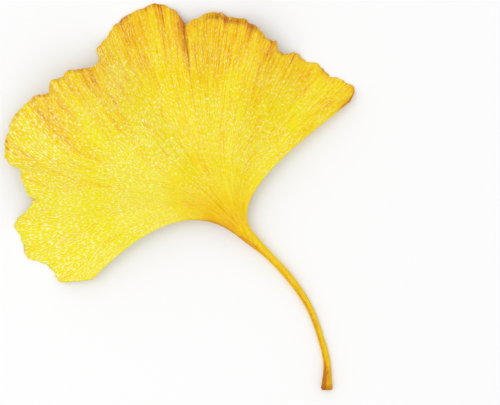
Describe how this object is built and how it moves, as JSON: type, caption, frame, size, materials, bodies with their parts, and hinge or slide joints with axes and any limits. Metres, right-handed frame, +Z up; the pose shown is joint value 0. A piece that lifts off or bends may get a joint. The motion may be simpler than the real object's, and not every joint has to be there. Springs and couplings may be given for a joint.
{
  "type": "ginkgo leaf",
  "caption": "Fan-shaped yellow autumn leaf with a cleft, wavy margin and a curved stalk, lying face up on a surface.",
  "frame": {"origin": "middle of the leaf's box in plan, on the surface that it lies on", "axes": "+Y along the leaf from the stalk's cut end to the blade's outer margin, +X across the blade, +Z up from the upper face"},
  "size_m": [0.0864, 0.1006, 0.0074],
  "materials": {
    "leaf": "satin"
  },
  "bodies": {
    "root": {"ginkgo_leaf": "leaf"}
  },
  "joints": []
}
